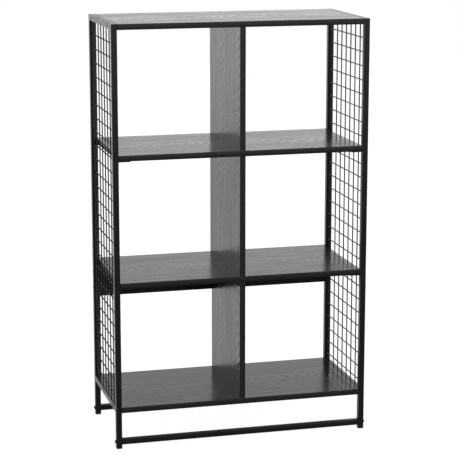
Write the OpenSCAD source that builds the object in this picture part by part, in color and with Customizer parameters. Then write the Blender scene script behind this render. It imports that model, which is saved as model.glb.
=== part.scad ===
// Open bookcase of three storeys and two columns.
// Two welded side frames of square steel tube, each with a wire grille, carry four boards.
// A divider stands in the middle of each storey, and a short panel braces the rear posts.
// The origin is on the floor under the middle. X runs to the right, Y to the rear, Z up.

/* [Overall] */
// Width over the side frames
unit_w = 722; // [500:1:1000]
// Depth over the posts
unit_d = 336; // [260:1:450]
// Height from the floor to the top
unit_h = 1176; // [850:1:1500]
// Height of the bottom board's underside above the floor
base_h = 103; // [60:1:200]

/* [Frame tube] */
// Width of the square tube
tube_w = 16; // [15:0.5:20]
// Wall of the square tube
tube_wall = 1.2; // [0.8:0.1:1.5]
// Outside corner radius of the square tube
tube_r = 1.5; // [1:0.1:2.5]
// Height of the floor stretchers' underside above the floor
stretcher_z = 12; // [12:1:40]

/* [Boards] */
// Thickness of every board, divider and panel
board_t = 16; // [12.5:0.5:18]
// Gap between the end of a board and the side frame
board_gap = 0.3; // [0.2:0.1:1]
// Thickness of the edge banding
band_t = 1; // [0.4:0.1:2]
// Height of the rear panel
panel_h = 95; // [70:1:200]

/* [Wire grilles] */
// Diameter of the wires
wire_d = 3.5; // [2:0.1:5]
// Pitch of the level wires
level_pitch = 39.2; // [25:0.1:60]
// Pitch of the upright wires
upright_pitch = 40; // [25:0.5:60]
// Distance by which the upright wires stand forward of the middle
upright_forward = 5; // [0:1:10]
// Depth to which crossing wires are fused together
wire_bite = 0.4; // [0.2:0.1:0.8]

/* [Feet] */
// Height of the foot under the post
foot_h = 4; // [2:0.5:5]
// Length of the foot's stem inside the post
foot_stem_h = 11; // [8:1:11]
// Chamfer round the bottom of the foot
foot_chamfer = 1; // [0.5:0.1:1.5]
// Wall of the foot's stem
foot_wall = 1.6; // [1:0.1:2]
// Thickness of each fin on the foot's stem
fin_t = 1; // [0.6:0.1:1.5]
// Pitch of the fins on the foot's stem
fin_pitch = 3.5; // [3:0.1:4]
// Gap between an insert and the inside of the tube
plug_gap = 0.1; // [0.05:0.05:0.3]

/* [Bolts] */
// Diameter of a stretcher bolt
bolt_d = 6; // [5:0.5:6]
// Hole in a post's wall for a stretcher bolt
bolt_hole_d = 6.6; // [6.2:0.1:7]
// Diameter of a recessed bolt
cap_bolt_d = 5; // [4:0.5:6]
// Hole in a tube's inner wall for a recessed bolt
cap_hole_d = 5.6; // [5.2:0.1:6.5]
// Head diameter of a recessed bolt
cap_d = 8.5; // [7:0.5:8.5]
// Head height of a recessed bolt
cap_h = 5; // [4:0.5:6]
// Hole in the outer wall that lets a recessed bolt's head in
access_d = 9.2; // [8.8:0.1:11]
// Length of a recessed bolt under its head
cap_bolt_l = 16; // [14:1:20]
// Head diameter of a stretcher bolt
button_d = 12; // [9:0.5:13]
// Head height of a stretcher bolt
button_h = 4; // [2.5:0.1:4.5]
// Length of a stretcher bolt past the post
button_bolt_bite = 13; // [10:1:14]
// Width across the flats of the hexagon socket
socket_w = 4; // [3:0.5:5]
// Depth of the hexagon socket
socket_h = 2; // [1.5:0.1:2.2]
// Distance from the front and rear edges to the bolts in the rails
rail_bolt_inset = 50; // [40:1:90]
// Distance from the rear panel's top and bottom to its bolts
panel_bolt_inset = 24; // [15:1:30]

/* [Threaded inserts] */
// Outside diameter of a board insert
insert_d = 10; // [8:0.5:10]
// Length of a board insert
insert_l = 13; // [10:1:15]
// Length of the threaded plug in a stretcher's end
stretcher_plug_l = 15; // [14:1:25]
// Radial gap between a thread and the hole that it is in
thread_gap = 0.1; // [0.05:0.05:0.2]
// Relief past the end of an insert, a screw or a dowel
hole_relief = 1; // [0.5:0.5:2]

/* [Shelf tabs] */
// Length and width of a tab
tab_l = 32; // [28:1:40]
// Thickness of a tab
tab_t = 2; // [1.5:0.5:3]
// Radius of the tab's free corner
tab_r = 5; // [2:1:8]
// Distance of the screw from the post and from the tab's outer edge
tab_screw_inset = 18; // [16:1:20]
// Hole in the tab for the screw
tab_hole_d = 4.6; // [4.3:0.1:5]
// Diameter of a shelf screw
screw_d = 4; // [3:0.5:4]
// Length of a shelf screw under its head
screw_l = 12; // [10:1:13]
// Head diameter of a shelf screw
screw_head_d = 8; // [6.5:0.5:9]
// Head height of a shelf screw
screw_head_h = 2.6; // [2:0.1:3]

/* [Divider fixings] */
// Diameter of a cam lock
cam_d = 15; // [12:1:15]
// Distance from the end of a board to the middle of a cam lock
cam_reach = 24; // [20:1:34]
// Board left behind a cam lock
cam_skin = 2.5; // [2:0.5:4]
// Depth of a cam lock under the face of the board
cam_recess = 0.5; // [0.2:0.1:1]
// Distance from the front and rear edges to the cam locks of the dividers
cam_inset = 58; // [45:1:80]
// Distance from the ends of the rear panel to its cam locks
panel_cam_inset = 100; // [60:1:140]
// Diameter of a cam bolt
cam_bolt_d = 6; // [5:0.5:6]
// Diameter of a cam bolt's head
cam_head_d = 7; // [6:0.5:7]
// Depth of a cam bolt in a board that it doesn't go through
cam_bolt_bite = 11; // [8:1:11]
// Diameter of a dowel
dowel_d = 8; // [6:1:8]
// Length of a dowel
dowel_l = 30; // [25:1:40]
// Depth of a dowel in the face of a board
dowel_bite = 7; // [5:1:7]
// Distance between neighbouring fixings along an edge
fixing_step = 32; // [20:1:32]

/* [Hidden] */
$fn = 48;
// Number of storeys
storeys = 3;
// Amount by which a cut runs past the surface that it opens
cut = 1;
// Diameter of the neck behind a cam bolt's head
cam_neck_d = 4;
// Thickness of a cam bolt's head
cam_head_h = 2.5;
// Length of the neck behind a cam bolt's head
cam_neck_l = 4;
// Gap round a cam bolt's head inside the lock
cam_play = 0.4;
// Width and depth of the cross recess in a lock or a screw
cross_w = 1.2;
cross_h = 1.4;
// Share of a head's width that its cross recess takes up
cross_share = 0.55;
// Length by which a shank runs on inside its head
shank_bite = 0.6;

// Middle of the tube on each side, and on the front and rear
post_x = (unit_w - tube_w) / 2;
post_y = (unit_d - tube_w) / 2;
// Inside of the tube
bore_w = tube_w - 2 * tube_wall;
bore_r = max(tube_r - tube_wall, tube_wall / 2);
// Clear width, depth and height inside a side frame
clear_w = unit_w - 2 * tube_w;
clear_d = unit_d - 2 * tube_w;
grille_z = base_h + board_t;
grille_h = unit_h - tube_w - grille_z;
// Length of a board, and the clear height of a storey
board_l = clear_w - 2 * board_gap;
storey_h = (unit_h - base_h - (storeys + 1) * board_t) / storeys;
// Underside of each board, from the bottom one up
board_z = [for (i = [0:storeys]) base_h + i * (storey_h + board_t)];
// Lower edge of the rear panel
panel_z = board_z[1] - panel_h;
// Rear panel and bottom divider share this face
panel_y = unit_d / 2 - board_t;

// A bolt that joins a tube to a board lies midway between their middles
joint_in = (board_t + tube_w) / 4;
rail_bolt_y = [for (end = [-1, 1]) end * (unit_d / 2 - rail_bolt_inset)];
rail_bolt_z = [grille_z - joint_in, unit_h - joint_in];
panel_bolt_y = unit_d / 2 - joint_in;
panel_bolt_z = [panel_z + panel_bolt_inset, board_z[1] - panel_bolt_inset];
stretcher_mid_z = stretcher_z + tube_w / 2;
// Middles of the fixings along a divider: cam locks, foot dowels and head dowels
cam_y = unit_d / 2 - cam_inset;
foot_dowel_y = cam_y - fixing_step;
head_dowel_y = foot_dowel_y - fixing_step;
// Middles of the fixings along the rear panel
panel_cam_x = board_l / 2 - panel_cam_inset;
panel_dowel_x = panel_cam_x - fixing_step;
panel_mid_y = panel_y + board_t / 2;
panel_mid_z = panel_z + panel_h / 2;
// Wires of a grille
upright_wires = floor((clear_d - 2 * upright_forward - wire_d) / upright_pitch) + 1;
level_wires = floor((grille_h - wire_d) / level_pitch);
wire_offset = (wire_d - wire_bite) / 2;

steel_black = [0.11, 0.11, 0.12];
board_black = [0.23, 0.23, 0.24];
band_black = [0.15, 0.15, 0.16];
plastic_black = [0.07, 0.07, 0.07];
zinc = [0.68, 0.69, 0.70];
beech = [0.76, 0.62, 0.42];

// ---- shared shapes ----

// Square with rounded corners, about the origin
module rounded_square(w, r) {
    square([w - 2 * r, w], center = true);
    square([w, w - 2 * r], center = true);
    for (x = [-1, 1], y = [-1, 1]) {
        translate([x * (w / 2 - r), y * (w / 2 - r)]) circle(r);
    }
}

// Square tube that stands on the origin
module tube(length) {
    linear_extrude(length) difference() {
        rounded_square(tube_w, tube_r);
        rounded_square(bore_w, bore_r);
    }
}

// Block with one face on a top corner's mitre plane, above that plane or below it
module mitre_block(end, above) {
    size = 3 * tube_w;
    translate([0, end * post_y, unit_h - tube_w / 2]) rotate([end * 45, 0, 0])
        translate([-unit_w, -size / 2, above ? 0 : -size]) cube([2 * unit_w, size, size]);
}

// Places its children on a side frame, with +Z pointing outwards; x is measured from the middle
module outwards(side, x, y, z) {
    translate([side * x, y, z]) rotate([0, side * 90, 0]) children();
}

// Holes in a tube for a recessed bolt: a large one outside and a small one inside
module recessed_bolt_hole(side, y, z) {
    outwards(side, post_x, y, z) {
        cylinder(d = access_d, h = tube_w);
        translate([0, 0, -tube_w]) cylinder(d = cap_hole_d, h = tube_w);
    }
}

// Bore in the end of a board for an insert, with room for the bolt's tip
module insert_bore(side, y, z) {
    bore_l = max(insert_l, cap_bolt_l - tube_wall - board_gap) + hole_relief;
    outwards(side, board_l / 2 - bore_l, y, z)
        cylinder(d = insert_d + 2 * thread_gap, h = bore_l + cut);
}

// Hexagon socket that opens upwards at the origin
module hex_socket() {
    translate([0, 0, -socket_h]) cylinder(d = socket_w / cos(30), h = socket_h + cut, $fn = 6);
}

// Cross recess that opens upwards at the origin
module cross_recess(head_d) {
    for (turn = [0, 90]) rotate([0, 0, turn])
        translate([-head_d * cross_share / 2, -cross_w / 2, -cross_h])
            cube([head_d * cross_share, cross_w, cross_h + cut]);
}

// ---- side frames ----

module post(side, end) {
    color(steel_black) difference() {
        translate([side * post_x, end * post_y, foot_h]) tube(unit_h - foot_h);
        mitre_block(end, true);
        outwards(side, post_x - tube_w, end * post_y, stretcher_mid_z)
            cylinder(d = bolt_hole_d, h = 2 * tube_w);
        if (end > 0) {
            for (z = panel_bolt_z) recessed_bolt_hole(side, panel_bolt_y, z);
        }
    }
}

module top_rail(side) {
    color(steel_black) difference() {
        translate([side * post_x, -unit_d / 2, unit_h - tube_w / 2]) rotate([-90, 0, 0]) tube(unit_d);
        for (end = [-1, 1]) mitre_block(end, false);
        for (y = rail_bolt_y) recessed_bolt_hole(side, y, rail_bolt_z[1]);
    }
}

module bottom_rail(side) {
    color(steel_black) difference() {
        translate([side * post_x, -clear_d / 2, grille_z - tube_w / 2]) rotate([-90, 0, 0]) tube(clear_d);
        for (y = rail_bolt_y) recessed_bolt_hole(side, y, rail_bolt_z[0]);
    }
}

// Upright wires lie on the outer side of the level wires, welded where they cross
module wire_grille(side) {
    color(steel_black) {
        for (i = [0:upright_wires - 1]) {
            y = (i - (upright_wires - 1) / 2) * upright_pitch - upright_forward;
            translate([side * (post_x + wire_offset), y, grille_z]) cylinder(d = wire_d, h = grille_h);
        }
        for (i = [1:level_wires]) {
            z = grille_z + grille_h - i * level_pitch;
            translate([side * (post_x - wire_offset), -clear_d / 2, z])
                rotate([-90, 0, 0]) cylinder(d = wire_d, h = clear_d);
        }
    }
}

// ---- boards ----

// Board without its front and rear edging; z is its underside
module board_blank(z) {
    translate([-board_l / 2, -unit_d / 2 + band_t, z]) cube([board_l, unit_d - 2 * band_t, board_t]);
}

// Front and rear edging of a board
module board_edging(z) {
    color(band_black) for (y = [-unit_d / 2, unit_d / 2 - band_t])
        translate([-board_l / 2, y, z]) cube([board_l, band_t, board_t]);
}

// Bores for the inserts in both ends of a board that a rail is bolted to
module rail_insert_bores(z) {
    for (side = [-1, 1], y = rail_bolt_y) insert_bore(side, y, z);
}

// Hole for a cam bolt, from z upwards
module cam_bolt_bore(x, y, z, depth) {
    translate([x, y, z]) cylinder(d = cam_bolt_d + 2 * thread_gap, h = depth);
}

// Hole for a dowel, from z upwards
module dowel_bore(x, y, z, depth) {
    translate([x, y, z]) cylinder(d = dowel_d + 2 * thread_gap, h = depth);
}

// Holes in the top face of a board for the divider that stands on it
module foot_bores(board_top) {
    bite = dowel_bite + hole_relief;
    for (end = [-1, 1]) dowel_bore(0, end * foot_dowel_y, board_top - bite, bite + cut);
}

// Holes in the underside of a board for the divider under it
module head_bores(underside) {
    bite = dowel_bite + hole_relief;
    for (end = [-1, 1]) dowel_bore(0, end * head_dowel_y, underside - cut, bite + cut);
}

// Holes through a shelf that has a divider on both sides
module shelf_bores(z) {
    for (end = [-1, 1]) cam_bolt_bore(0, end * cam_y, z - cut, board_t + 2 * cut);
    foot_bores(z + board_t);
    head_bores(z);
}

// Middle of the screw in a tab
function tab_screw_x() = unit_w / 2 - tube_w - tab_screw_inset;
function tab_screw_y() = unit_d / 2 - tube_r - tab_screw_inset;

// Pilot holes over the tabs at the front or at the rear
module tab_screw_bores(z, end) {
    depth = screw_l - tab_t + hole_relief;
    for (side = [-1, 1]) translate([side * tab_screw_x(), end * tab_screw_y(), z - cut])
        cylinder(d = screw_d + 2 * thread_gap, h = depth + cut);
}

module top_board() {
    bite = cam_bolt_bite + hole_relief;
    color(board_black) difference() {
        board_blank(board_z[3]);
        rail_insert_bores(rail_bolt_z[1]);
        for (end = [-1, 1]) cam_bolt_bore(0, end * cam_y, board_z[3] - cut, bite + cut);
        head_bores(board_z[3]);
    }
}

module upper_shelf() {
    color(board_black) difference() {
        board_blank(board_z[2]);
        shelf_bores(board_z[2]);
        for (end = [-1, 1]) tab_screw_bores(board_z[2], end);
    }
}

module lower_shelf() {
    bolt_bite = cam_bolt_bite + hole_relief;
    plug_bite = dowel_bite + hole_relief;
    color(board_black) difference() {
        board_blank(board_z[1]);
        shelf_bores(board_z[1]);
        tab_screw_bores(board_z[1], -1);
        for (side = [-1, 1]) {
            cam_bolt_bore(side * panel_cam_x, panel_mid_y, board_z[1] - cut, bolt_bite + cut);
            dowel_bore(side * panel_dowel_x, panel_mid_y, board_z[1] - cut, plug_bite + cut);
        }
    }
}

module bottom_board() {
    bite = cam_bolt_bite + hole_relief;
    color(board_black) difference() {
        board_blank(board_z[0]);
        rail_insert_bores(rail_bolt_z[0]);
        for (end = [-1, 1]) cam_bolt_bore(0, end * cam_y, grille_z - bite, bite + cut);
        foot_bores(grille_z);
    }
}

// Bores in the edge and the face of an upright board for one cam lock, in the lock's own frame:
// the lock turns about +X at the origin, and its bolt comes from below
module cam_bores() {
    translate([-board_t / 2 + cam_skin, 0, 0]) rotate([0, 90, 0]) cylinder(d = cam_d, h = board_t);
    translate([0, 0, -cam_reach - cut]) cylinder(d = dowel_d, h = cam_reach + cut);
}

// Bores for the cams and dowels at both ends of a divider
module divider_bores(z) {
    blind = dowel_l - dowel_bite + hole_relief;
    for (end = [-1, 1]) {
        translate([0, end * cam_y, z + cam_reach]) cam_bores();
        translate([0, end * cam_y, z + storey_h - cam_reach]) rotate([180, 0, 0]) cam_bores();
        dowel_bore(0, end * foot_dowel_y, z - cut, blind + cut);
        dowel_bore(0, end * head_dowel_y, z + storey_h - blind, blind + cut);
    }
}

// Divider in one storey, counted from the bottom; back is how far it reaches to the rear
module divider(storey, back) {
    z = board_z[storey] + board_t;
    front = -unit_d / 2 + band_t;
    color(board_black) difference() {
        translate([-board_t / 2, front, z]) cube([board_t, back - front, storey_h]);
        divider_bores(z);
        if (back == panel_y) panel_divider_bore();
    }
}

module divider_edging(storey, faces) {
    color(band_black) for (y = faces)
        translate([-board_t / 2, y, board_z[storey] + board_t]) cube([board_t, band_t, storey_h]);
}

// Hole for the dowel between the bottom divider and the rear panel
module panel_divider_bore() {
    blind = dowel_l - dowel_bite + hole_relief;
    translate([0, panel_y - blind, panel_mid_z]) rotate([-90, 0, 0])
        cylinder(d = dowel_d + 2 * thread_gap, h = blind + dowel_bite + hole_relief);
}

// Turns a cam lock's frame so that it opens to the rear and takes its bolt from above
module panel_cam_place(side) {
    translate([side * panel_cam_x, panel_mid_y, board_z[1] - cam_reach])
        rotate([180, 0, -90]) children();
}

module rear_panel() {
    blind = dowel_l - dowel_bite + hole_relief;
    color(board_black) difference() {
        translate([-board_l / 2, panel_y, panel_z + band_t]) cube([board_l, board_t, panel_h - band_t]);
        panel_divider_bore();
        for (side = [-1, 1]) {
            for (z = panel_bolt_z) insert_bore(side, panel_bolt_y, z);
            panel_cam_place(side) cam_bores();
            dowel_bore(side * panel_dowel_x, panel_mid_y, board_z[1] - blind, blind + cut);
        }
    }
}

module rear_panel_edging() {
    color(band_black) translate([-board_l / 2, panel_y, panel_z]) cube([board_l, board_t, band_t]);
}

// ---- stretchers and feet ----

module stretcher(end) {
    color(steel_black) translate([-clear_w / 2, end * post_y, stretcher_mid_z])
        rotate([0, 90, 0]) tube(clear_w);
}

// Threaded plugs in both ends of both stretchers
module stretcher_plugs() {
    plug_w = bore_w - 2 * plug_gap;
    color(zinc) for (side = [-1, 1], end = [-1, 1])
        outwards(side, clear_w / 2 - stretcher_plug_l, end * post_y, stretcher_mid_z)
            linear_extrude(stretcher_plug_l) difference() {
                rounded_square(plug_w, bore_r);
                circle(d = bolt_d + 2 * thread_gap);
            }
}

// Chamfer cuts round the bottom of a foot
module foot_chamfers() {
    for (turn = [0:90:270]) rotate([0, 0, turn])
        translate([-tube_w, tube_w / 2 - foot_chamfer, 0]) rotate([-45, 0, 0])
            cube([2 * tube_w, tube_w, 2 * foot_chamfer]);
}

// Square plug with a foot under the post and a finned stem inside it
module foot_plug() {
    stem_w = bore_w - 2 * (plug_gap + fin_t);
    difference() {
        union() {
            linear_extrude(foot_h) rounded_square(tube_w, tube_r);
            linear_extrude(foot_h + foot_stem_h) rounded_square(stem_w, bore_r);
            for (i = [1:floor(foot_stem_h / fin_pitch)])
                translate([0, 0, foot_h + i * fin_pitch - fin_t])
                    linear_extrude(fin_t) rounded_square(bore_w - 2 * plug_gap, bore_r);
        }
        translate([0, 0, foot_h]) linear_extrude(foot_stem_h + cut)
            square(stem_w - 2 * foot_wall, center = true);
        foot_chamfers();
    }
}

module foot_plugs() {
    color(plastic_black) for (side = [-1, 1], end = [-1, 1])
        translate([side * post_x, end * post_y, 0]) foot_plug();
}

// ---- bolts and inserts ----

// Button head bolts through the posts into the stretchers
module stretcher_bolts() {
    dome_r = (pow(button_d / 2, 2) + pow(button_h, 2)) / (2 * button_h);
    color(steel_black) for (side = [-1, 1], end = [-1, 1])
        outwards(side, unit_w / 2, end * post_y, stretcher_mid_z) difference() {
            union() {
                intersection() {
                    translate([0, 0, button_h - dome_r]) sphere(dome_r);
                    cylinder(d = button_d + cut, h = button_h + cut);
                }
                translate([0, 0, -tube_w - button_bolt_bite])
                    cylinder(d = bolt_d, h = tube_w + button_bolt_bite + shank_bite);
            }
            translate([0, 0, button_h]) hex_socket();
        }
}

// Cap head bolt whose head sits inside the tube, on its inner wall
module recessed_bolt(side, y, z) {
    outwards(side, unit_w / 2 - tube_w + tube_wall, y, z) difference() {
        union() {
            cylinder(d = cap_d, h = cap_h);
            translate([0, 0, -cap_bolt_l]) cylinder(d = cap_bolt_d, h = cap_bolt_l + shank_bite);
        }
        translate([0, 0, cap_h]) hex_socket();
    }
}

module board_insert(side, y, z) {
    outwards(side, board_l / 2 - insert_l, y, z) linear_extrude(insert_l) difference() {
        circle(d = insert_d);
        circle(d = cap_bolt_d + 2 * thread_gap);
    }
}

module recessed_bolts() {
    color(steel_black) for (side = [-1, 1]) {
        for (y = rail_bolt_y, z = rail_bolt_z) recessed_bolt(side, y, z);
        for (z = panel_bolt_z) recessed_bolt(side, panel_bolt_y, z);
    }
}

module board_inserts() {
    color(zinc) for (side = [-1, 1]) {
        for (y = rail_bolt_y, z = rail_bolt_z) board_insert(side, y, z);
        for (z = panel_bolt_z) board_insert(side, panel_bolt_y, z);
    }
}

// ---- shelf tabs ----

// Places its children at the outer corner of a tab, with +X and +Y pointing inwards
module tab_place(side, end, z) {
    translate([side * (unit_w / 2 - tube_w), end * (unit_d / 2 - tube_r), z])
        scale([-side, -end, 1]) children();
}

// Places its children at every tab; the rear panel carries the rear of the lower shelf
module every_tab() {
    for (side = [-1, 1]) {
        for (end = [-1, 1]) tab_place(side, end, board_z[2]) children();
        tab_place(side, -1, board_z[1]) children();
    }
}

module shelf_tabs() {
    color(steel_black) every_tab() translate([0, 0, -tab_t]) linear_extrude(tab_t) difference() {
        union() {
            square([tab_l - tab_r, tab_l]);
            square([tab_l, tab_l - tab_r]);
            translate([tab_l - tab_r, tab_l - tab_r]) circle(tab_r);
        }
        translate([tab_screw_inset, tab_screw_inset]) circle(d = tab_hole_d);
    }
}

module shelf_screws() {
    color(zinc) every_tab() translate([tab_screw_inset, tab_screw_inset, -tab_t]) difference() {
        union() {
            translate([0, 0, -screw_head_h]) cylinder(d = screw_head_d, h = screw_head_h);
            translate([0, 0, -shank_bite]) cylinder(d = screw_d, h = screw_l + shank_bite);
        }
        translate([0, 0, -screw_head_h]) rotate([180, 0, 0]) cross_recess(screw_head_d);
    }
}

// ---- cam locks, cam bolts and dowels ----

// Cam lock in its own frame, with a pocket for the head of the bolt that comes from below
module cam_lock() {
    lock_r = cam_d / 2 - thread_gap;
    lock_h = board_t - cam_skin - cam_recess;
    pocket = cam_head_d + 2 * cam_play;
    difference() {
        translate([-board_t / 2 + cam_skin, 0, 0]) rotate([0, 90, 0]) cylinder(r = lock_r, h = lock_h);
        translate([-pocket / 2, -pocket / 2, -cam_d]) cube([pocket, pocket, cam_d + cam_head_h]);
        translate([board_t / 2 - cam_recess, 0, 0]) rotate([0, 90, 0]) cross_recess(cam_d);
    }
}

module cam_locks() {
    color(zinc) {
        for (storey = [0:storeys - 1], end = [-1, 1]) {
            z = board_z[storey] + board_t;
            translate([0, end * cam_y, z + cam_reach]) cam_lock();
            translate([0, end * cam_y, z + storey_h - cam_reach]) rotate([180, 0, 0]) cam_lock();
        }
        for (side = [-1, 1]) panel_cam_place(side) cam_lock();
    }
}

// Part of a cam bolt that stands out of a board at the origin, upwards; it overlaps the rest below
module cam_bolt_end(root) {
    neck_z = cam_reach - cam_head_h / 2 - cam_neck_l;
    translate([0, 0, -root]) cylinder(d = cam_bolt_d, h = root + neck_z);
    translate([0, 0, neck_z - cut]) cylinder(d = cam_neck_d, h = cam_neck_l + 2 * cut);
    translate([0, 0, neck_z + cam_neck_l]) cylinder(d = cam_head_d, h = cam_head_h);
}

module cam_bolts() {
    color(zinc) {
        for (end = [-1, 1]) {
            translate([0, end * cam_y, grille_z]) cam_bolt_end(cam_bolt_bite);
            translate([0, end * cam_y, board_z[3]]) rotate([180, 0, 0]) cam_bolt_end(cam_bolt_bite);
            for (i = [1, 2]) {
                translate([0, end * cam_y, board_z[i] + board_t]) cam_bolt_end(board_t / 2);
                translate([0, end * cam_y, board_z[i]]) rotate([180, 0, 0]) cam_bolt_end(board_t / 2);
            }
        }
        for (side = [-1, 1]) translate([side * panel_cam_x, panel_mid_y, board_z[1]])
            rotate([180, 0, 0]) cam_bolt_end(cam_bolt_bite);
    }
}

module dowel(x, y, z) {
    translate([x, y, z]) cylinder(d = dowel_d, h = dowel_l);
}

module dowels() {
    color(beech) {
        for (storey = [0:storeys - 1], end = [-1, 1]) {
            z = board_z[storey] + board_t;
            dowel(0, end * foot_dowel_y, z - dowel_bite);
            dowel(0, end * head_dowel_y, z + storey_h + dowel_bite - dowel_l);
        }
        for (side = [-1, 1]) dowel(side * panel_dowel_x, panel_mid_y, board_z[1] + dowel_bite - dowel_l);
        translate([0, panel_y + dowel_bite - dowel_l, panel_mid_z]) rotate([-90, 0, 0])
            cylinder(d = dowel_d, h = dowel_l);
    }
}

post(-1, -1);  // left_front_post
post(-1, 1);  // left_rear_post
post(1, -1);  // right_front_post
post(1, 1);  // right_rear_post
top_rail(-1);  // left_top_rail
top_rail(1);  // right_top_rail
bottom_rail(-1);  // left_bottom_rail
bottom_rail(1);  // right_bottom_rail
wire_grille(-1);  // left_wire_grille
wire_grille(1);  // right_wire_grille
top_board();
upper_shelf();
lower_shelf();
bottom_board();
divider(2, unit_d / 2 - band_t);  // upper_divider
divider(1, unit_d / 2 - band_t);  // middle_divider
divider(0, panel_y);  // bottom_divider
rear_panel();
board_edging(board_z[3]);  // top_board_edging
board_edging(board_z[2]);  // upper_shelf_edging
board_edging(board_z[1]);  // lower_shelf_edging
board_edging(board_z[0]);  // bottom_board_edging
divider_edging(2, [-unit_d / 2, unit_d / 2 - band_t]);  // upper_divider_edging
divider_edging(1, [-unit_d / 2, unit_d / 2 - band_t]);  // middle_divider_edging
divider_edging(0, [-unit_d / 2]);  // bottom_divider_edging
rear_panel_edging();
stretcher(-1);  // front_stretcher
stretcher(1);  // rear_stretcher
foot_plugs();
stretcher_plugs();
stretcher_bolts();
recessed_bolts();
board_inserts();
shelf_tabs();
shelf_screws();
cam_locks();
cam_bolts();
dowels();
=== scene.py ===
import math

import bmesh
import bpy
import numpy as np
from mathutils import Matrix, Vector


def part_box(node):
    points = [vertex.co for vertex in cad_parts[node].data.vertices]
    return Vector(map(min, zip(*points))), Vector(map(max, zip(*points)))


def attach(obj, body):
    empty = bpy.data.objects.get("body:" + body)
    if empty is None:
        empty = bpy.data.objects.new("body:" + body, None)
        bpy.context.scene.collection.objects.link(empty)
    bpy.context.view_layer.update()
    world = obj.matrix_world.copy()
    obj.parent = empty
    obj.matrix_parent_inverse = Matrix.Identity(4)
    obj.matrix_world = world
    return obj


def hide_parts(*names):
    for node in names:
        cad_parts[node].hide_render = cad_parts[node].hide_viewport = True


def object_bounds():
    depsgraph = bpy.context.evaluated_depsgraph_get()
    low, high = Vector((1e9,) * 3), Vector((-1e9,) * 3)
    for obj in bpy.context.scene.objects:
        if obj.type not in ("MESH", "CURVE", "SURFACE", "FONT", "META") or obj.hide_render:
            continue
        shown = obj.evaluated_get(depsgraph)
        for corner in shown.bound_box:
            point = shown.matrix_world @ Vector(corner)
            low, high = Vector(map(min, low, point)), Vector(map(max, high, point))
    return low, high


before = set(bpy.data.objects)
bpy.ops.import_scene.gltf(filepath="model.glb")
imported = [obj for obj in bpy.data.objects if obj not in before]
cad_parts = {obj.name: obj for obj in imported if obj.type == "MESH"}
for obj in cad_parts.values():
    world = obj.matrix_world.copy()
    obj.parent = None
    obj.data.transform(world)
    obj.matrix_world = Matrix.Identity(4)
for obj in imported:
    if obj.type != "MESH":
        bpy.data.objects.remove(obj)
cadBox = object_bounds()
mm = 0.001
# for a length along X, Y or Z: the two axes across it, then its own
axisOrder = {0: (1, 2, 0), 1: (0, 2, 1), 2: (0, 1, 2)}
print("frame loaded:", len(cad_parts), "nodes")


# Camera

camera = {
    "place": (-1219.1 * mm, -4648.6 * mm, 1581.9 * mm),
    "turnRight": 14.752,    # degrees from straight at the front, towards the right
    "tiltDown": 11.875,     # degrees below level
    "lens": 135.375,        # millimetres, on a sensor 36 mm wide
    "sensor": 36.0,
}


def makeCamera(values):
    # a camera that looks along -Z is tipped up by 90 degrees less its tilt, then turned about Z
    data = bpy.data.cameras.new("camera")
    data.lens = values["lens"]
    data.sensor_width = values["sensor"]
    data.clip_start = 0.1
    data.clip_end = 100
    eye = bpy.data.objects.new("camera", data)
    eye.location = values["place"]
    eye.rotation_euler = (math.radians(90 - values["tiltDown"]), 0, -math.radians(values["turnRight"]))
    bpy.context.scene.collection.objects.link(eye)
    bpy.context.scene.camera = eye


makeCamera(camera)
print("camera placed")


# Shaders

def hexColour(text):
    # sRGB hex to linear: c / 12.92 below 0.04045, else ((c + 0.055) / 1.055) ** 2.4
    parts = [int(text[i:i + 2], 16) / 255 for i in (1, 3, 5)]
    return tuple(c / 12.92 if c <= 0.04045 else ((c + 0.055) / 1.055) ** 2.4 for c in parts) + (1.0,)


def addNode(tree, kind, settings=None, inputs=None):
    # adds one node; each setting is a property, and each input is a plain value or another node's output
    node = tree.nodes.new("ShaderNode" + kind)
    for key, value in (settings or {}).items():
        setattr(node, key, value)
    for key, value in (inputs or {}).items():
        if isinstance(value, bpy.types.NodeSocket):
            tree.links.new(value, node.inputs[key])
        else:
            node.inputs[key].default_value = value
    return node


def addRamp(tree, factor, stops):
    # a smooth ramp of grey through (place, value) stops
    ramp = addNode(tree, "ValToRGB", None, {"Fac": factor})
    ramp.color_ramp.interpolation = "EASE"
    elements = ramp.color_ramp.elements
    for spot, (place, value) in enumerate(stops):
        element = elements[spot] if spot < 2 else elements.new(place)
        element.position = place
        element.color = (value, value, value, 1.0)
    return ramp.outputs["Color"]


def startMaterial(name):
    # an empty material, its tree and its output
    material = bpy.data.materials.new(name)
    material.use_nodes = True
    material.node_tree.nodes.clear()
    return material, material.node_tree, addNode(material.node_tree, "OutputMaterial")


def millimetres(tree, stretch=(1, 1, 1)):
    # object coordinates in millimetres, divided by stretch along each axis
    place = addNode(tree, "TexCoord").outputs["Object"]
    scale = tuple(1 / (mm * s) for s in stretch)
    return addNode(tree, "Mapping", None, {"Vector": place, "Scale": scale}).outputs["Vector"]


powderCoat = {
    "colour": "#0c0d0f",
    "fleck": "#17181b",
    "roughness": 0.26,
    "ior": 1.45,
    "peelSize": 1.6,        # mm between the waves of the orange peel
    "peelDepth": 0.008,     # mm
    "grainSize": 0.5,       # mm, drawn coarser than the real 0.1 mm grit so that it shows
    "handlingSize": 90.0,   # mm between patches that hands have polished
}


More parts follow.
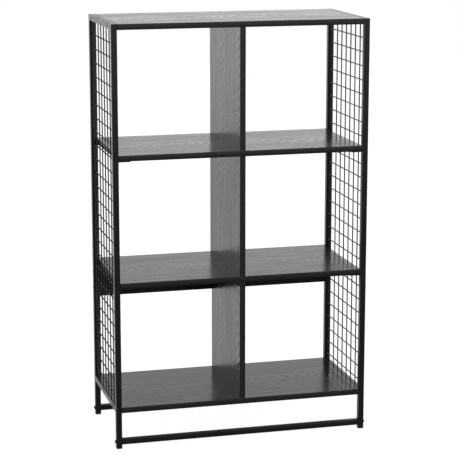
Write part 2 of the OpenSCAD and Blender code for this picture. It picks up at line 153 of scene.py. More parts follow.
def powderCoatMaterial(name, values):
    # polyester powder coat, baked: a satin black with a shallow orange peel that softens reflections
    material, tree, output = startMaterial(name)
    at = millimetres(tree)
    peel = addNode(tree, "TexNoise", None, {"Vector": at, "Scale": 1 / values["peelSize"], "Detail": 2.0})
    grit = addNode(tree, "TexNoise", None, {"Vector": at, "Scale": 1 / values["grainSize"], "Detail": 1.0})
    handling = addNode(tree, "TexNoise", None, {
        "Vector": at, "Scale": 1 / values["handlingSize"], "Detail": 3.0})
    colour = addNode(tree, "Mix", {"data_type": "RGBA"}, {
        0: grit.outputs["Fac"], 6: hexColour(values["colour"]), 7: hexColour(values["fleck"])})
    gloss = addNode(tree, "MapRange", None, {
        "Value": handling.outputs["Fac"], "From Min": 0.3, "From Max": 0.7,
        "To Min": values["roughness"] - 0.04, "To Max": values["roughness"] + 0.05})
    height = addNode(tree, "Math", {"operation": "MULTIPLY_ADD"}, {
        0: grit.outputs["Fac"], 1: 0.3, 2: peel.outputs["Fac"]})
    bump = addNode(tree, "Bump", None, {
        "Height": height.outputs[0], "Strength": 1.0, "Distance": values["peelDepth"] * mm})
    surface = addNode(tree, "BsdfPrincipled", None, {
        "Base Color": colour.outputs[2], "Roughness": gloss.outputs[0], "IOR": values["ior"],
        "Normal": bump.outputs[0]})
    tree.links.new(surface.outputs[0], output.inputs["Surface"])
    return material


ashFoil = {
    "ground": "#0e0e0f",
    "line": "#1b1b1d",
    "pore": "#09090a",
    "matt": 0.26,           # roughness of the ground
    "shine": 0.09,          # roughness of the growth lines
    "ior": 1.5,
    "tip": 0.2,             # how blunt the tips of the arches are
    "archLength": 30.0,     # mm along the grain from one arch to the next
    "archWidth": 21.0,      # mm across the grain from one arch to the next
    "chain": 95.0,          # mm, half the distance between two chains of arches
    "wander": 90.0,         # mm, how far a chain wanders across the board
    "wanderLength": 150.0,  # mm between its bends
    "unevenness": 2.0,      # arches, how far the growth lines stray from the formula
    "patchSize": 45.0,      # mm, of the places where the lines stray or fade
    "sharpness": 2.2,       # how narrow a growth line is, as a power
    "core": 12.0,           # mm, half the width of a chain at full strength
    "between": 0.1,         # strength of the lines between two chains
    "streakWidth": 15.0,    # mm
    "poreWidth": 0.9,       # mm
    "poreLength": 24.0,     # mm
    "poreDepth": 0.03,      # mm
}


def ashFoilMaterial(name, values, along, across, spine, depths):
    # melamine foil printed and embossed as black ash. The growth lines are contours of
    # along / archLength + sqrt((across / archWidth)^2 + tip), nested arches in chains that wander across the
    # board; they are glossier than the ground and fade between the chains, where long streaks take over.
    # depths is the embossing in mm at the floor and at the top, deeper than real so that it shows from afar
    material, tree, output = startMaterial(name)

    def calculate(operation, first, second=0.0, third=0.0):
        # a Math node; MULTIPLY_ADD gives first * second + third
        return addNode(tree, "Math", {"operation": operation}, {0: first, 1: second, 2: third}).outputs[0]

    def noise(size, stretch, detail):
        # soft noise, size mm across the grain and stretch times that along it
        scale = [1.0, 1.0, 1.0]
        scale[along] = stretch
        return addNode(tree, "TexNoise", None, {
            "Vector": millimetres(tree, scale), "Scale": 1 / size, "Detail": detail}).outputs["Fac"]

    def spread(value, low, high, to=(0.0, 1.0)):
        # to[0] at low and below, to[1] at high and above, straight between
        return addNode(tree, "MapRange", {"clamp": True}, {
            "Value": value, "From Min": low, "From Max": high, "To Min": to[0], "To Max": to[1]}).outputs[0]

    parts = addNode(tree, "SeparateXYZ", None, {0: millimetres(tree)})
    shifted = calculate("SUBTRACT", parts.outputs[across], spine + values["wander"] / 2)
    wandering = calculate("MULTIPLY_ADD", noise(values["wanderLength"], 2.0, 1.0), values["wander"], shifted)
    away = calculate("PINGPONG", wandering, values["chain"])
    squared = calculate("POWER", calculate("DIVIDE", away, values["archWidth"]), 2.0)
    arms = calculate("SQRT", calculate("ADD", squared, values["tip"]))
    phase = calculate("MULTIPLY_ADD", parts.outputs[along], 1 / values["archLength"], arms)
    uneven = calculate("MULTIPLY_ADD", noise(values["patchSize"], 3.0, 1.0), values["unevenness"], phase)
    wave = calculate("SINE", calculate("MULTIPLY", uneven, 2 * math.pi))
    line = calculate("POWER", spread(wave, -1.0, 1.0), values["sharpness"])
    near = spread(away, values["core"], 0.8 * values["chain"], (1.0, values["between"]))
    patches = spread(noise(values["patchSize"], 3.0, 1.0), 0.35, 0.6, (0.15, 1.0))
    drawn = calculate("MULTIPLY", calculate("MULTIPLY", line, near), patches)
    streaks = spread(noise(values["streakWidth"], 9.0, 2.0), 0.35, 0.68)
    figure = calculate("MULTIPLY_ADD", streaks, 0.45, calculate("MULTIPLY", drawn, 0.9))
    fibre = noise(values["poreWidth"], values["poreLength"] / values["poreWidth"], 2.0)
    pores = spread(fibre, 0.56, 0.68)
    ground = addNode(tree, "Mix", {"data_type": "RGBA"}, {
        0: figure, 6: hexColour(values["ground"]), 7: hexColour(values["line"])})
    colour = addNode(tree, "Mix", {"data_type": "RGBA"}, {
        0: pores, 6: ground.outputs[2], 7: hexColour(values["pore"])})
    gloss = spread(figure, 0.0, 1.0, (values["matt"], values["shine"]))
    depth = spread(parts.outputs[2], 0.0, cadBox[1][2] / mm, (depths[0] * mm, depths[1] * mm))
    embossed = addNode(tree, "Bump", None, {"Height": figure, "Strength": 1.0, "Distance": depth})
    sunk = addNode(tree, "Bump", {"invert": True}, {
        "Height": pores, "Strength": 1.0, "Distance": values["poreDepth"] * mm,
        "Normal": embossed.outputs[0]})
    surface = addNode(tree, "BsdfPrincipled", None, {
        "Base Color": colour.outputs[2], "Roughness": gloss, "IOR": values["ior"],
        "Normal": sunk.outputs[0]})
    tree.links.new(surface.outputs[0], output.inputs["Surface"])
    return material


edgeBand = {
    "colour": "#0c0d0f",
    "streak": "#17181b",
    "roughness": 0.36,
    "ior": 1.46,
    "streakLength": 60.0,   # mm
    "streakWidth": 1.2,     # mm
    "depth": 0.02,          # mm
}


def edgeBandMaterial(name, values, along):
    # ABS edge banding, extruded and printed: duller than the foil, with fine streaks along its length
    material, tree, output = startMaterial(name)
    stretch = [1.0, 1.0, 1.0]
    stretch[along] = values["streakLength"] / values["streakWidth"]
    streaks = addNode(tree, "TexNoise", None, {
        "Vector": millimetres(tree, stretch), "Scale": 1 / values["streakWidth"], "Detail": 2.0})
    colour = addNode(tree, "Mix", {"data_type": "RGBA"}, {
        0: streaks.outputs["Fac"], 6: hexColour(values["colour"]), 7: hexColour(values["streak"])})
    bump = addNode(tree, "Bump", None, {
        "Height": streaks.outputs["Fac"], "Strength": 1.0, "Distance": values["depth"] * mm})
    surface = addNode(tree, "BsdfPrincipled", None, {
        "Base Color": colour.outputs[2], "Roughness": values["roughness"], "IOR": values["ior"],
        "Normal": bump.outputs[0]})
    tree.links.new(surface.outputs[0], output.inputs["Surface"])
    return material


polypropylene = {
    "colour": "#171717",
    "roughness": 0.5,
    "ior": 1.49,
    "sparkSize": 0.4,       # mm
    "sparkDepth": 0.015,    # mm
}


def polypropyleneMaterial(name, values):
    # moulded polypropylene: a dull black with the fine spark texture of its mould
    material, tree, output = startMaterial(name)
    spark = addNode(tree, "TexNoise", None, {
        "Vector": millimetres(tree), "Scale": 1 / values["sparkSize"], "Detail": 2.0})
    gloss = addNode(tree, "MapRange", None, {
        "Value": spark.outputs["Fac"],
        "To Min": values["roughness"] - 0.06, "To Max": values["roughness"] + 0.06})
    bump = addNode(tree, "Bump", None, {
        "Height": spark.outputs["Fac"], "Strength": 1.0, "Distance": values["sparkDepth"] * mm})
    surface = addNode(tree, "BsdfPrincipled", None, {
        "Base Color": hexColour(values["colour"]), "Roughness": gloss.outputs[0], "IOR": values["ior"],
        "Normal": bump.outputs[0]})
    tree.links.new(surface.outputs[0], output.inputs["Surface"])
    return material


plating = {
    "cloudSize": 2.86,      # mm
    "cloudGloss": 0.08,     # how far the roughness varies from cloud to cloud
    "dentSize": 0.455,      # mm, of the dents from tumbling in the plating drum
    "dentDepth": 0.01,      # mm
}


def platedSteelMaterial(name, values, colour, tint, roughness):
    # electroplated steel: a metal whose plating clouds slightly from place to place
    material, tree, output = startMaterial(name)
    at = millimetres(tree)
    cloud = addNode(tree, "TexNoise", None, {"Vector": at, "Scale": 1 / values["cloudSize"], "Detail": 3.0})
    dents = addNode(tree, "TexNoise", None, {"Vector": at, "Scale": 1 / values["dentSize"], "Detail": 2.0})
    shade = addNode(tree, "Mix", {"data_type": "RGBA"}, {
        0: cloud.outputs["Fac"], 6: hexColour(colour), 7: hexColour(tint)})
    gloss = addNode(tree, "MapRange", None, {
        "Value": cloud.outputs["Fac"],
        "To Min": roughness - values["cloudGloss"], "To Max": roughness + values["cloudGloss"]})
    bump = addNode(tree, "Bump", None, {
        "Height": dents.outputs["Fac"], "Strength": 1.0, "Distance": values["dentDepth"] * mm})
    surface = addNode(tree, "BsdfPrincipled", None, {
        "Base Color": shade.outputs[2], "Metallic": 1.0, "Roughness": gloss.outputs[0],
        "Normal": bump.outputs[0]})
    tree.links.new(surface.outputs[0], output.inputs["Surface"])
    return material


dowelBeech = {
    "colour": "#d3b184",
    "fleck": "#a97f50",
    "roughness": 0.6,
    "ior": 1.45,
    "fleckWidth": 0.833,    # mm
    "fleckStretch": 6,      # how many times longer than wide a fleck is
}


def beechMaterial(name, values):
    # turned beech: a pale wood with short dark flecks along the dowel
    material, tree, output = startMaterial(name)
    flecks = addNode(tree, "TexNoise", None, {
        "Vector": millimetres(tree, (1, 1, values["fleckStretch"])), "Scale": 1 / values["fleckWidth"],
        "Detail": 3.0})
    colour = addNode(tree, "Mix", {"data_type": "RGBA"}, {
        0: flecks.outputs["Fac"], 6: hexColour(values["colour"]), 7: hexColour(values["fleck"])})
    surface = addNode(tree, "BsdfPrincipled", None, {
        "Base Color": colour.outputs[2], "Roughness": values["roughness"], "IOR": values["ior"]})
    tree.links.new(surface.outputs[0], output.inputs["Surface"])
    return material


coat = powderCoatMaterial("satinBlackPowderCoat", powderCoat)
wireCoat = powderCoatMaterial("blackPowderCoatOnWire", dict(powderCoat, roughness=0.3, peelSize=1.0))
# the higher a level board lies, the more nearly edge on it is seen, so the shallower its embossing is
levelAsh = ashFoilMaterial("blackAshFoilLevel", ashFoil, 0, 1, 0, (0.26, 0.02))
uprightAsh = ashFoilMaterial("blackAshFoilUpright", ashFoil, 2, 1, 30, (0.6, 0.6))
backAsh = ashFoilMaterial("blackAshFoilBack", ashFoil, 0, 2, 430, (0.2, 0.2))
bandAlongX = edgeBandMaterial("blackAbsBandLevel", edgeBand, 0)
bandAlongZ = edgeBandMaterial("blackAbsBandUpright", edgeBand, 2)
footPlastic = polypropyleneMaterial("blackPolypropylene", polypropylene)
blackSteel = platedSteelMaterial("blackZincPlatedSteel", plating, "#3a3a3c", "#2a2a2b", 0.38)
brightZinc = platedSteelMaterial("brightZincPlatedSteel", plating, "#c3c6ca", "#a4a8ad", 0.3)
beech = beechMaterial("beech", dowelBeech)
print("materials made")


# Meshes

def gridFaces(rows, columns, first=0):
    # quads between neighbouring rows of a grid whose last column joins its first
    i, j = np.meshgrid(np.arange(rows - 1), np.arange(columns), indexing="ij")
    near = i * columns + j
    side = i * columns + (j + 1) % columns
    return (first + np.stack([near, side, side + columns, near + columns], -1)).reshape(-1, 4).tolist()


def makePiece(name, points, faces, material, smoothAngle=40):
    # a mesh piece at the origin, with outward faces, smooth where its faces meet under smoothAngle degrees
    mesh = bpy.data.meshes.new(name)
    mesh.from_pydata(np.asarray(points).reshape(-1, 3).tolist(), [], faces)
    mesh.update()
    piece = bpy.data.objects.new(name, mesh)
    bpy.context.scene.collection.objects.link(piece)
    mesh.materials.append(material)
    tidyNormals(piece, smoothAngle)
    return piece


def tidyNormals(piece, smoothAngle):
    # merges doubles, turns every face outwards and marks the sharp edges
    work = bmesh.new()
    work.from_mesh(piece.data)
    bmesh.ops.remove_doubles(work, verts=work.verts, dist=1e-7)
    bmesh.ops.recalc_face_normals(work, faces=work.faces)
    work.to_mesh(piece.data)
    work.free()
    piece.data.shade_smooth()
    piece.data.set_sharp_from_angle(angle=math.radians(smoothAngle))


def roundedOutline(width, depth, radius, steps):
    # a rectangle with round corners, anticlockwise: each corner is its centre + radius * (cos a, sin a)
    angle = np.linspace(0, math.pi / 2, steps + 1)
    corners = []
    for turn, (sx, sy) in enumerate([(1, 1), (-1, 1), (-1, -1), (1, -1)]):
        a = angle + turn * math.pi / 2
        centre = np.array([sx * (width / 2 - radius), sy * (depth / 2 - radius)])
        corners.append(centre + radius * np.stack([np.cos(a), np.sin(a)], -1))
    return np.concatenate(corners)


def onAxes(u, v, w, order):
    # puts three coordinate arrays on the axes named by order, such as (0, 1, 2) for X, Y, Z
    points = np.zeros(np.broadcast(u, v, w).shape + (3,))
    for value, axis in zip((u, v, w), order):
        points[..., axis] = value
    return points


def squareTube(name, box, along, mitres, values, material):
    # a rounded square carried along a straight line, outside and inside; where an end is mitred, each
    # point of the outline runs to the plane at 45 degrees: end - width / 2 + its offset towards that end
    low, high = (np.array(c) for c in box)
    order = axisOrder[along]
    u, v = order[0], order[1]
    centre = (low + high) / 2
    width = values["width"] * mm
    inner = width - 2 * values["wall"] * mm
    rings = []
    for size, radius in ((width, values["radius"] * mm), (inner, values["innerRadius"] * mm)):
        outline = roundedOutline(size, size, radius, values["steps"])
        ends = []
        for end, plane in ((low[along], mitres[0]), (high[along], mitres[1])):
            length = np.full(len(outline), end)
            if plane is not None:
                axis, sign = plane
                towards = -1 if end == low[along] else 1
                length = end + towards * (sign * outline[:, 0 if axis == u else 1] - width / 2)
            ends.append(onAxes(outline[:, 0] + centre[u], outline[:, 1] + centre[v], length, order))
        rings.append(ends)
    count = len(rings[0][0])
    points = np.stack([rings[0][0], rings[0][1], rings[1][1], rings[1][0]])
    faces = gridFaces(4, count)
    last = 3 * count
    faces += [[last + j, last + (j + 1) % count, (j + 1) % count, j] for j in range(count)]
    return makePiece(name, points, faces, material, 60)


def roundBars(starts, ends, radii, shares, sides):
    # bars as circles carried along straight lines:
    # point = start + share * line + radius(share) * (cos a, sin a), with the shares in metres from the start
    starts, ends = np.asarray(starts, float), np.asarray(ends, float)
    line = ends - starts
    length = np.linalg.norm(line, axis=1, keepdims=True)
    forward = line / length
    helper = np.where(np.abs(forward[:, 2:3]) > 0.9, [[1.0, 0, 0]], [[0, 0, 1.0]])
    first = np.cross(forward, helper)
    second = np.cross(forward, first)
    angle = np.arange(sides) * 2 * math.pi / sides
    circle = np.cos(angle)[None, :, None] * first[:, None] + np.sin(angle)[None, :, None] * second[:, None]
    along = np.asarray(shares)
    middle = starts[:, None] + along[..., None] * forward[:, None]
    points = middle[:, :, None] + np.asarray(radii)[..., None, None] * circle[:, None]
    rows = along.shape[1]
    faces = []
    for bar in range(len(starts)):
        base = bar * rows * sides
        faces += gridFaces(rows, sides, base)
        faces.append(list(range(base + sides - 1, base - 1, -1)))
        faces.append(list(range(base + (rows - 1) * sides, base + rows * sides)))
    return points, faces


def turnedPiece(profile, outline, centre, axis, sign, sides):
    # a profile of (radius, height, shaped) rows turned about an axis; a shaped row reaches
    # radius * outline(a) at angle a, and the others are circles
    angle = np.arange(sides) * 2 * math.pi / sides
    order = axisOrder[axis]
    rows = []
    for radius, height, shaped in profile:
        reach = radius * outline(angle) if shaped else np.full(sides, radius)
        rows.append(onAxes(reach * np.cos(angle), reach * np.sin(angle), sign * height, order) + centre)
    faces = gridFaces(len(rows), sides)
    faces.append(list(range(sides)))
    faces.append(list(range((len(rows) - 1) * sides, len(rows) * sides)))
    return np.stack(rows), faces


def joinLots(lots):
    # several (points, faces) lots as one
    points, faces, first = [], [], 0
    for lotPoints, lotFaces in lots:
        flat = np.asarray(lotPoints).reshape(-1, 3)
        points.append(flat)
        faces += [[first + i for i in face] for face in lotFaces]
        first += len(flat)
    return np.concatenate(points), faces


def combine(piece, cutter, operation, smoothAngle):
    # joins the cutter to the piece or cuts it away, then drops the cutter
    step = piece.modifiers.new(operation.lower(), "BOOLEAN")
    step.object = cutter
    step.operation = operation
    step.solver = "EXACT"
    bpy.context.view_layer.update()
    result = bpy.data.meshes.new_from_object(piece.evaluated_get(bpy.context.evaluated_depsgraph_get()))
    piece.modifiers.clear()
    piece.data = result
    bpy.data.objects.remove(cutter)
    tidyNormals(piece, smoothAngle)


def settle(piece, slot, *nodes):
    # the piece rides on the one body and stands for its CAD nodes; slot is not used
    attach(piece, "root")
    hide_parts(*nodes)


# Frame tubes

tube = {
    "width": 16.0,          # mm
    "wall": 1.2,            # mm
    "radius": 1.5,          # mm, outside corner
    "innerRadius": 0.6,     # mm, inside corner
    "steps": 6,             # faces round a corner
    "boltHole": 6.6,        # mm, for the stretcher bolts
    "capHole": 5.6,         # mm, in the inner wall for the recessed bolts
    "accessHole": 9.2,      # mm, in the outer wall for their heads
}
boltBoxes = {}


def holeBars(side, places, middleX):
    # cutters across a tube: a large bar from the middle outwards and a small one from the middle inwards
    lots = []
    for y, z in places:
        middle = np.array([middleX, y, z])
        for reach, diameter in ((side, tube["accessHole"]), (-side, tube["capHole"])):
            end = middle + np.array([reach * tube["width"] * mm, 0, 0])
            radius = diameter * mm / 2
            lots.append(roundBars([middle], [end], [[radius, radius]], [[0, tube["width"] * mm]], 48))
    return joinLots(lots)


def straightBars(places, middleX):
    # cutters for a bolt that goes right through a tube
    half = tube["width"] * mm
    radius = tube["boltHole"] * mm / 2
    lots = []
    for y, z in places:
        start = np.array([middleX - half, y, z])
        lots.append(roundBars([start], [start + [2 * half, 0, 0]], [[radius, radius]], [[0, 2 * half]], 48))
    return joinLots(lots)


def looseParts(node):
    # the box of each separate solid in a CAD node, found by spreading labels over shared corners
    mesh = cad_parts[node].data
    places = np.zeros(len(mesh.vertices) * 3)
    mesh.vertices.foreach_get("co", places)
    places = places.reshape(-1, 3)
    _, label = np.unique(np.round(places, 6), axis=0, return_inverse=True)
    label = label.reshape(-1)
    mesh.calc_loop_triangles()
    corners = np.zeros(len(mesh.loop_triangles) * 3, int)
    mesh.loop_triangles.foreach_get("vertices", corners)
    triangles = label[corners.reshape(-1, 3)]
    group = np.arange(label.max() + 1)
    while True:
        lowest = group[triangles].min(1)
        before = group.copy()
        for k in range(3):
            np.minimum.at(group, triangles[:, k], lowest)
        group = group[group]
        if (before == group).all():
            break
    owner = group[label]
    return [(places[owner == g].min(0), places[owner == g].max(0)) for g in np.unique(owner)]


for node in ("recessed_bolts", "stretcher_bolts"):
    boltBoxes[node] = looseParts(node)


def middles(node, side, low, high):
    # (y, z) of the middles of the solids on one side of the bookcase that lie inside a box
    found = []
    for solidLow, solidHigh in boltBoxes[node]:
        middle = (solidLow + solidHigh) / 2
        above = (middle[1:] > np.array(low)[1:]).all()
        below = (middle[1:] < np.array(high)[1:]).all()
        if middle[0] * side > 0 and above and below:
            found.append((middle[1], middle[2]))
    return found


def makeFrameTubes():
    for side, word in ((-1, "left"), (1, "right")):
        for end, place in ((-1, "front"), (1, "rear")):
            node = f"{word}_{place}_post"
            low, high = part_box(node)
            high = high.copy()
            middleX = (low[0] + high[0]) / 2
            post = squareTube(node + "_tube", (low, high), 2, (None, (1, end)), tube, coat)
            through = middles("stretcher_bolts", side, low, high)
            cutter = makePiece("cutter", *straightBars(through, middleX), coat)
            combine(post, cutter, "DIFFERENCE", 40)
            hidden = middles("recessed_bolts", side, low, high)
            if hidden:
                combine(post, makePiece("cutter", *holeBars(side, hidden, middleX), coat), "DIFFERENCE", 40)
            settle(post, "frame_paint", node)
        for level in ("top", "bottom"):
            node = f"{word}_{level}_rail"
            low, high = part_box(node)
            mitres = ((2, 1), (2, 1)) if level == "top" else (None, None)
            rail = squareTube(node + "_tube", (low, high), 1, mitres, tube, coat)
            places = middles("recessed_bolts", side, low, high)
            cutter = makePiece("cutter", *holeBars(side, places, (low[0] + high[0]) / 2), coat)
            combine(rail, cutter, "DIFFERENCE", 40)
            settle(rail, "frame_paint", node)
    for place in ("front", "rear"):
        node = place + "_stretcher"
        stretcher = squareTube(node + "_tube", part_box(node), 0, (None, None), tube, coat)
        settle(stretcher, "frame_paint", node)


makeFrameTubes()
print("frame tubes made")


# Wire grilles

wire = {
    "diameter": 3.5,        # mm
    "levelPitch": 39.2,     # mm
    "uprightPitch": 40.0,   # mm
    "forward": 5.0,         # mm, how far the uprights stand forward of the middle
    "fused": 0.4,           # mm, how deep crossing wires are welded together
    "sides": 20,            # faces round a wire
    "toe": 0.8,             # mm, length of the weld's toe at a wire's end
    "flare": 0.25,          # mm, how much the toe widens the wire
}


def grilleWires(starts, ends):
    # each wire widens to its weld: radius + flare * (1 - s / toe) ** 2 within a toe of either end
    starts, ends = np.asarray(starts), np.asarray(ends)
    length = np.linalg.norm(ends - starts, axis=1, keepdims=True)
    toe = wire["toe"] * mm
    near = np.linspace(0, toe, 5)[None]
    along = np.concatenate([np.repeat(near, len(starts), 0), length - near[:, ::-1]], 1)
    gap = np.minimum(along, length - along)
    radii = (wire["diameter"] / 2 + wire["flare"] * np.clip(1 - gap / toe, 0, 1) ** 2) * mm
    return roundBars(starts, ends, radii, along, wire["sides"])


def makeGrilles():
    for side, word in ((-1, "left"), (1, "right")):
        node = word + "_wire_grille"
        low, high = (np.array(c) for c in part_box(node))
        middle = (low + high) / 2
        offset = side * (wire["diameter"] - wire["fused"]) / 2 * mm
        pitch = wire["uprightPitch"] * mm
        forward = wire["forward"] * mm
        uprights = math.floor((high[1] - low[1] - 2 * forward - wire["diameter"] * mm) / pitch) + 1
        y = middle[1] + (np.arange(uprights) - (uprights - 1) / 2) * pitch - forward
        foot = np.stack([np.full(uprights, middle[0] + offset), y, np.full(uprights, low[2])], -1)
        head = foot + [0, 0, high[2] - low[2]]
        pitch = wire["levelPitch"] * mm
        levels = math.floor((high[2] - low[2] - wire["diameter"] * mm) / pitch)
        z = high[2] - np.arange(1, levels + 1) * pitch
        front = np.stack([np.full(levels, middle[0] - offset), np.full(levels, low[1]), z], -1)
        back = front + [0, high[1] - low[1], 0]
        grille = makePiece(node + "_welded", *grilleWires(foot, head), wireCoat, 50)
        combine(grille, makePiece("cutter", *grilleWires(front, back), wireCoat, 50), "UNION", 50)
        settle(grille, "wire_paint", node)


makeGrilles()
print("wire grilles made")


# Edge banding

band = {
    "radius": 0.8,          # mm, the rounding of the two outer arrises
    "steps": 5,             # faces round an arris
}


def bandStrip(low, high, along, out, sign):
    # a strip whose outer arrises are quarter circles, carried along its length; its glued face is flat
    low, high = np.array(low), np.array(high)
    thick = 3 - along - out
    radius = band["radius"] * mm
    angle = np.linspace(0, math.pi / 2, band["steps"] + 1)
    half = (high[thick] - low[thick]) / 2
    reach = high[out] - low[out]
    sine, cosine = radius * np.sin(angle), radius * np.cos(angle)
    across = np.concatenate([half - radius + cosine, -(half - radius) - sine, [-half, half]])
    outward = np.concatenate([reach - radius + sine, reach - radius + cosine, [0, 0]])
    glued = low[out] if sign > 0 else high[out]
    middle = (low[thick] + high[thick]) / 2
    rows = [onAxes(across + middle, glued + sign * outward, np.full(len(across), end), (thick, out, along))
            for end in (low[along], high[along])]
    count = len(across)
    faces = gridFaces(2, count) + [list(range(count)), list(range(count, 2 * count))]
    return np.stack(rows), faces


def makeBands():
    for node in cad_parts:
        if not node.endswith("_edging"):
            continue
        along, material = (2, bandAlongZ) if "divider" in node else (0, bandAlongX)
        lots = []
        for low, high in looseParts(node):
            out, sign = (2, -1) if node == "rear_panel_edging" else (1, 1 if low[1] > 0 else -1)
            lots.append(bandStrip(low, high, along, out, sign))
        settle(makePiece(node + "_band", *joinLots(lots), material, 35), "edging", node)


makeBands()
print("edge banding made")


# Feet and bolts

foot = {
    "chamfer": 1.0,         # mm
    "head": 4.0,            # mm
    "stemGap": 0.1,         # mm to the inside of the tube
    "fin": 1.0,             # mm
    "finPitch": 3.5,        # mm
    "edge": 0.2,            # mm, the softened top edge of the head
}


def makeFeet():
    # stacked rounded squares from the floor up: chamfer, head, then a stem with fins
    lots = []
    bore = tube["width"] - 2 * tube["wall"]
    finWidth = bore - 2 * foot["stemGap"]
    stemWidth = finWidth - 2 * foot["fin"]
    for low, high in looseParts("foot_plugs"):
        centre = (low + high) / 2
        height = (high[2] - low[2]) / mm
        stack = [(tube["width"] - 2 * foot["chamfer"], 0.0), (tube["width"], foot["chamfer"]),
                 (tube["width"], foot["head"] - foot["edge"]),
                 (tube["width"] - 2 * foot["edge"], foot["head"]), (stemWidth, foot["head"])]
        level = foot["head"] + foot["finPitch"]
        while level < height:
            stack += [(stemWidth, level - foot["fin"]), (finWidth, level - foot["fin"]),
                      (finWidth, level), (stemWidth, level)]
            level += foot["finPitch"]
        stack.append((stemWidth, height))
        rows = []
        for width, z in stack:
            outline = roundedOutline(width * mm, width * mm, tube["radius"] * mm * width / tube["width"], 5)
            x, y = outline[:, 0] + centre[0], outline[:, 1] + centre[1]
            rows.append(onAxes(x, y, low[2] + z * mm, (0, 1, 2)))
        count = len(rows[0])
        faces = gridFaces(len(rows), count)
        faces += [list(range(count)), list(range((len(rows) - 1) * count, len(rows) * count))]
        lots.append((np.stack(rows), faces))
    settle(makePiece("foot_plugs_moulded", *joinLots(lots), footPlastic, 35), "foot_plastic", "foot_plugs")


bolt = {
    "shank": 6.0,           # mm, of the stretcher bolts
    "button": 12.0,         # mm, head diameter of the stretcher bolts
    "buttonHeight": 4.0,    # mm
    "capShank": 5.0,        # mm, of the recessed bolts
    "cap": 8.5,             # mm, head diameter of the recessed bolts
    "capHeight": 5.0,       # mm
    "socket": 4.0,          # mm across the flats
    "socketDepth": 2.0,     # mm
    "socketTip": 0.3,       # mm, radius of the middle of the socket's floor
    "lead": 0.15,           # mm, the lead-in round the socket and the least height of the rim
    "chamfer": 0.6,         # mm, at the shank's tip and the cap's upper edge
    "flat": 1.35,           # the flat round the socket, as a share of the socket
    "sides": 48,
}


def hexReach(angle):
    # how far a hexagon reaches at an angle, for a distance of 1 across half its flats
    return 1 / np.cos((angle + math.pi / 6) % (math.pi / 3) - math.pi / 6)


def boltLot(solidLow, solidHigh, side, headRows, length, shankWidth):
    # shank from its tip, then the head's own rows, then the hexagon socket
    middle = (solidLow + solidHigh) / 2
    tip = solidLow[0] if side > 0 else solidHigh[0]
    centre = np.array([tip, middle[1], middle[2]])
    shank = shankWidth * mm / 2
    top = headRows[-1][1] + length
    half = bolt["socket"] * mm / 2
    lead, chamfer, depth = (bolt[key] * mm for key in ("lead", "chamfer", "socketDepth"))
    profile = [(shank - chamfer, 0, False), (shank, chamfer, False), (shank, length, False)]
    profile += [(r, length + h, False) for r, h in headRows]
    profile += [(half + lead, top, True), (half, top - lead, True),
                (half, top - depth, True), (bolt["socketTip"] * mm, top - depth - lead, False)]
    return turnedPiece(profile, hexReach, centre, 0, side, bolt["sides"])


def buttonRows():
    # a domed head: a circle's arc from the rim up to the flat round the socket
    radius, height = bolt["button"] * mm / 2, bolt["buttonHeight"] * mm
    ball = (radius ** 2 + height ** 2) / (2 * height)
    flat = bolt["socket"] * mm / 2 * bolt["flat"]
    reach = np.linspace(radius, flat, 10)
    level = np.sqrt(ball ** 2 - reach ** 2) - (ball - height)
    return [(radius, 0.0)] + list(zip(reach, np.maximum(level, bolt["lead"] * mm)))


def capRows():
    # a cylindrical head with a rounded top edge
    radius, height, edge = bolt["cap"] * mm / 2, bolt["capHeight"] * mm, bolt["chamfer"] * mm
    angle = np.linspace(0, math.pi / 2, 5)
    arc = [(radius - edge + edge * math.cos(a), height - edge + edge * math.sin(a)) for a in angle]
    return [(radius, 0.0)] + arc


def makeBolts():
    for node, rows, shank in (("stretcher_bolts", buttonRows(), bolt["shank"]),
                              ("recessed_bolts", capRows(), bolt["capShank"])):
        lots = []
        for low, high in boltBoxes[node]:
            side = 1 if low[0] > 0 else -1
            rim = rows[-1][1]
            lots.append(boltLot(low, high, side, rows, high[0] - low[0] - rim, shank))
        settle(makePiece(node + "_turned", *joinLots(lots), blackSteel, 35), "bolt_black", node)


makeFeet()
makeBolts()
print("feet and bolts made")


# Boards, tabs and fittings that keep their CAD shape

def paintNodes(material, nodes):
    # gives CAD nodes their material; their meshes stay as they are
    for node in nodes:
        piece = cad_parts[node]
        piece.data.materials.clear()
        piece.data.materials.append(material)


paintNodes(levelAsh, ["top_board", "upper_shelf", "lower_shelf", "bottom_board"])
paintNodes(backAsh, ["rear_panel"])
paintNodes(uprightAsh, ["upper_divider", "middle_divider", "bottom_divider"])
paintNodes(coat, ["shelf_tabs"])
paintNodes(brightZinc, [
    "stretcher_plugs", "board_inserts", "shelf_screws", "cam_locks", "cam_bolts"])
paintNodes(beech, ["dowels"])
print("CAD pieces painted")


# Floor and light

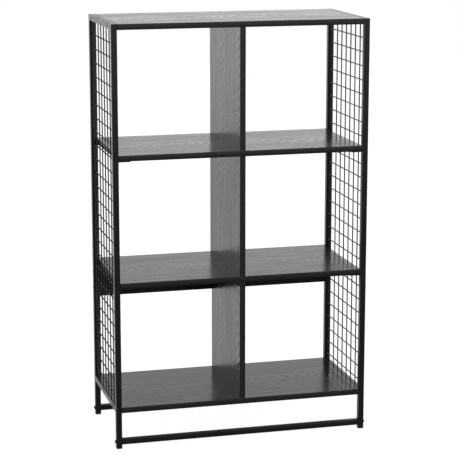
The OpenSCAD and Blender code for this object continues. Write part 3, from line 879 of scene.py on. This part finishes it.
studio = {
    "floor": "#686868",
    "haze": "#6c6c6c",
    "hazeSize": 400.0,      # mm
    "floorRoughness": 0.9,
    "floorGlow": 0.96,      # light that comes through the floor sheet
    "front": 0.9,           # m, from the bookcase to the floor's front edge
    "reach": 9.0,           # m, to the other edges
    # the brightness that the bookcase sees by height: 0 is straight down, 0.5 level and 1 straight up
    "rearWall": [(0.0, 0.05), (0.3, 0.1), (0.345, 0.63), (0.372, 0.9), (0.41, 0.77), (0.45, 1.13),
                 (0.54, 1.1), (0.585, 0.98), (0.62, 0.97), (0.66, 0.66), (1.0, 0.5)],
    "frontWall": [(0.0, 0.02), (0.425, 0.02), (0.47, 0.7), (0.52, 1.6), (0.7, 0.9), (1.0, 0.5)],
    "wallTurn": (-0.6, 0.2),        # the Y of a direction between which front wall gives way to rear wall
    "rearEnds": (0.15, 0.35),       # the X of a direction between which the rear wall brightens
    "rearShares": (0.93, 1.07),     # and its brightness to the left and right of that
    "lampPower": 40.0,      # W
    "lampSize": 2.5,        # m
    "lampPlace": (-2.6, -1.6, 3.4),     # m
    "lampAim": (0.0, 0.0, 0.6),         # m
}


def makeFloor():
    # a flat sheet of white acrylic, lit from below so that hardly any shadow falls on it
    material, tree, output = startMaterial("litWhiteAcrylic")
    haze = addNode(tree, "TexNoise", None, {
        "Vector": millimetres(tree), "Scale": 1 / studio["hazeSize"], "Detail": 2.0})
    shade = addNode(tree, "Mix", {"data_type": "RGBA"}, {
        0: haze.outputs["Fac"], 6: hexColour(studio["floor"]), 7: hexColour(studio["haze"])})
    surface = addNode(tree, "BsdfPrincipled", None, {
        "Base Color": shade.outputs[2], "Roughness": studio["floorRoughness"],
        "Emission Color": (1, 1, 1, 1), "Emission Strength": studio["floorGlow"]})
    tree.links.new(surface.outputs[0], output.inputs["Surface"])
    near, far = -studio["front"], studio["reach"]
    corners = np.array([[-far, near, 0], [far, near, 0], [far, far, 0], [-far, far, 0]])
    mesh = bpy.data.meshes.new("floor")
    mesh.from_pydata(corners.tolist(), [], [[0, 1, 2, 3]])
    mesh.materials.append(material)
    floor = bpy.data.objects.new("floor", mesh)
    floor.visible_glossy = False
    bpy.context.scene.collection.objects.link(floor)


def makeLight():
    # a white room; the bookcase sees its rear wall bright and its front wall dark below eye level
    world = bpy.data.worlds.new("studio")
    bpy.context.scene.world = world
    world.use_nodes = True
    tree = world.node_tree
    tree.nodes.clear()
    output = addNode(tree, "OutputWorld")
    direction = addNode(tree, "TexCoord")
    parts = addNode(tree, "SeparateXYZ", None, {0: direction.outputs["Generated"]})
    height = addNode(tree, "MapRange", None, {
        "Value": parts.outputs["Z"], "From Min": -1.0, "From Max": 1.0})
    rear = addRamp(tree, height.outputs[0], studio["rearWall"])
    front = addRamp(tree, height.outputs[0], studio["frontWall"])
    depth = addNode(tree, "MapRange", {"interpolation_type": "SMOOTHSTEP"}, {
        "Value": parts.outputs["Y"], "From Min": studio["wallTurn"][0], "From Max": studio["wallTurn"][1]})
    across = addNode(tree, "MapRange", None, {
        "Value": parts.outputs["X"], "From Min": studio["rearEnds"][0], "From Max": studio["rearEnds"][1],
        "To Min": studio["rearShares"][0], "To Max": studio["rearShares"][1]})
    behind = addNode(tree, "VectorMath", {"operation": "SCALE"}, {0: rear, "Scale": across.outputs[0]})
    seen = addNode(tree, "Mix", {"data_type": "RGBA"}, {0: depth.outputs[0], 6: front, 7: behind.outputs[0]})
    ray = addNode(tree, "LightPath")
    colour = addNode(tree, "Mix", {"data_type": "RGBA"}, {
        0: ray.outputs["Is Camera Ray"], 6: seen.outputs[2], 7: (1, 1, 1, 1)})
    room = addNode(tree, "Background", None, {"Color": colour.outputs[2], "Strength": 1.0})
    tree.links.new(room.outputs[0], output.inputs["Surface"])
    data = bpy.data.lights.new("softbox", "AREA")
    data.shape = "SQUARE"
    data.size = studio["lampSize"]
    data.energy = studio["lampPower"]
    lamp = bpy.data.objects.new("softbox", data)
    lamp.location = studio["lampPlace"]
    aim = np.array(studio["lampAim"]) - np.array(studio["lampPlace"])
    pitch = math.atan2(math.hypot(aim[0], aim[1]), -aim[2])
    lamp.rotation_euler = (pitch, 0, math.atan2(-aim[0], aim[1]))
    bpy.context.scene.collection.objects.link(lamp)


makeFloor()
makeLight()
bpy.context.scene.view_settings.view_transform = "Standard"
print("studio lit")
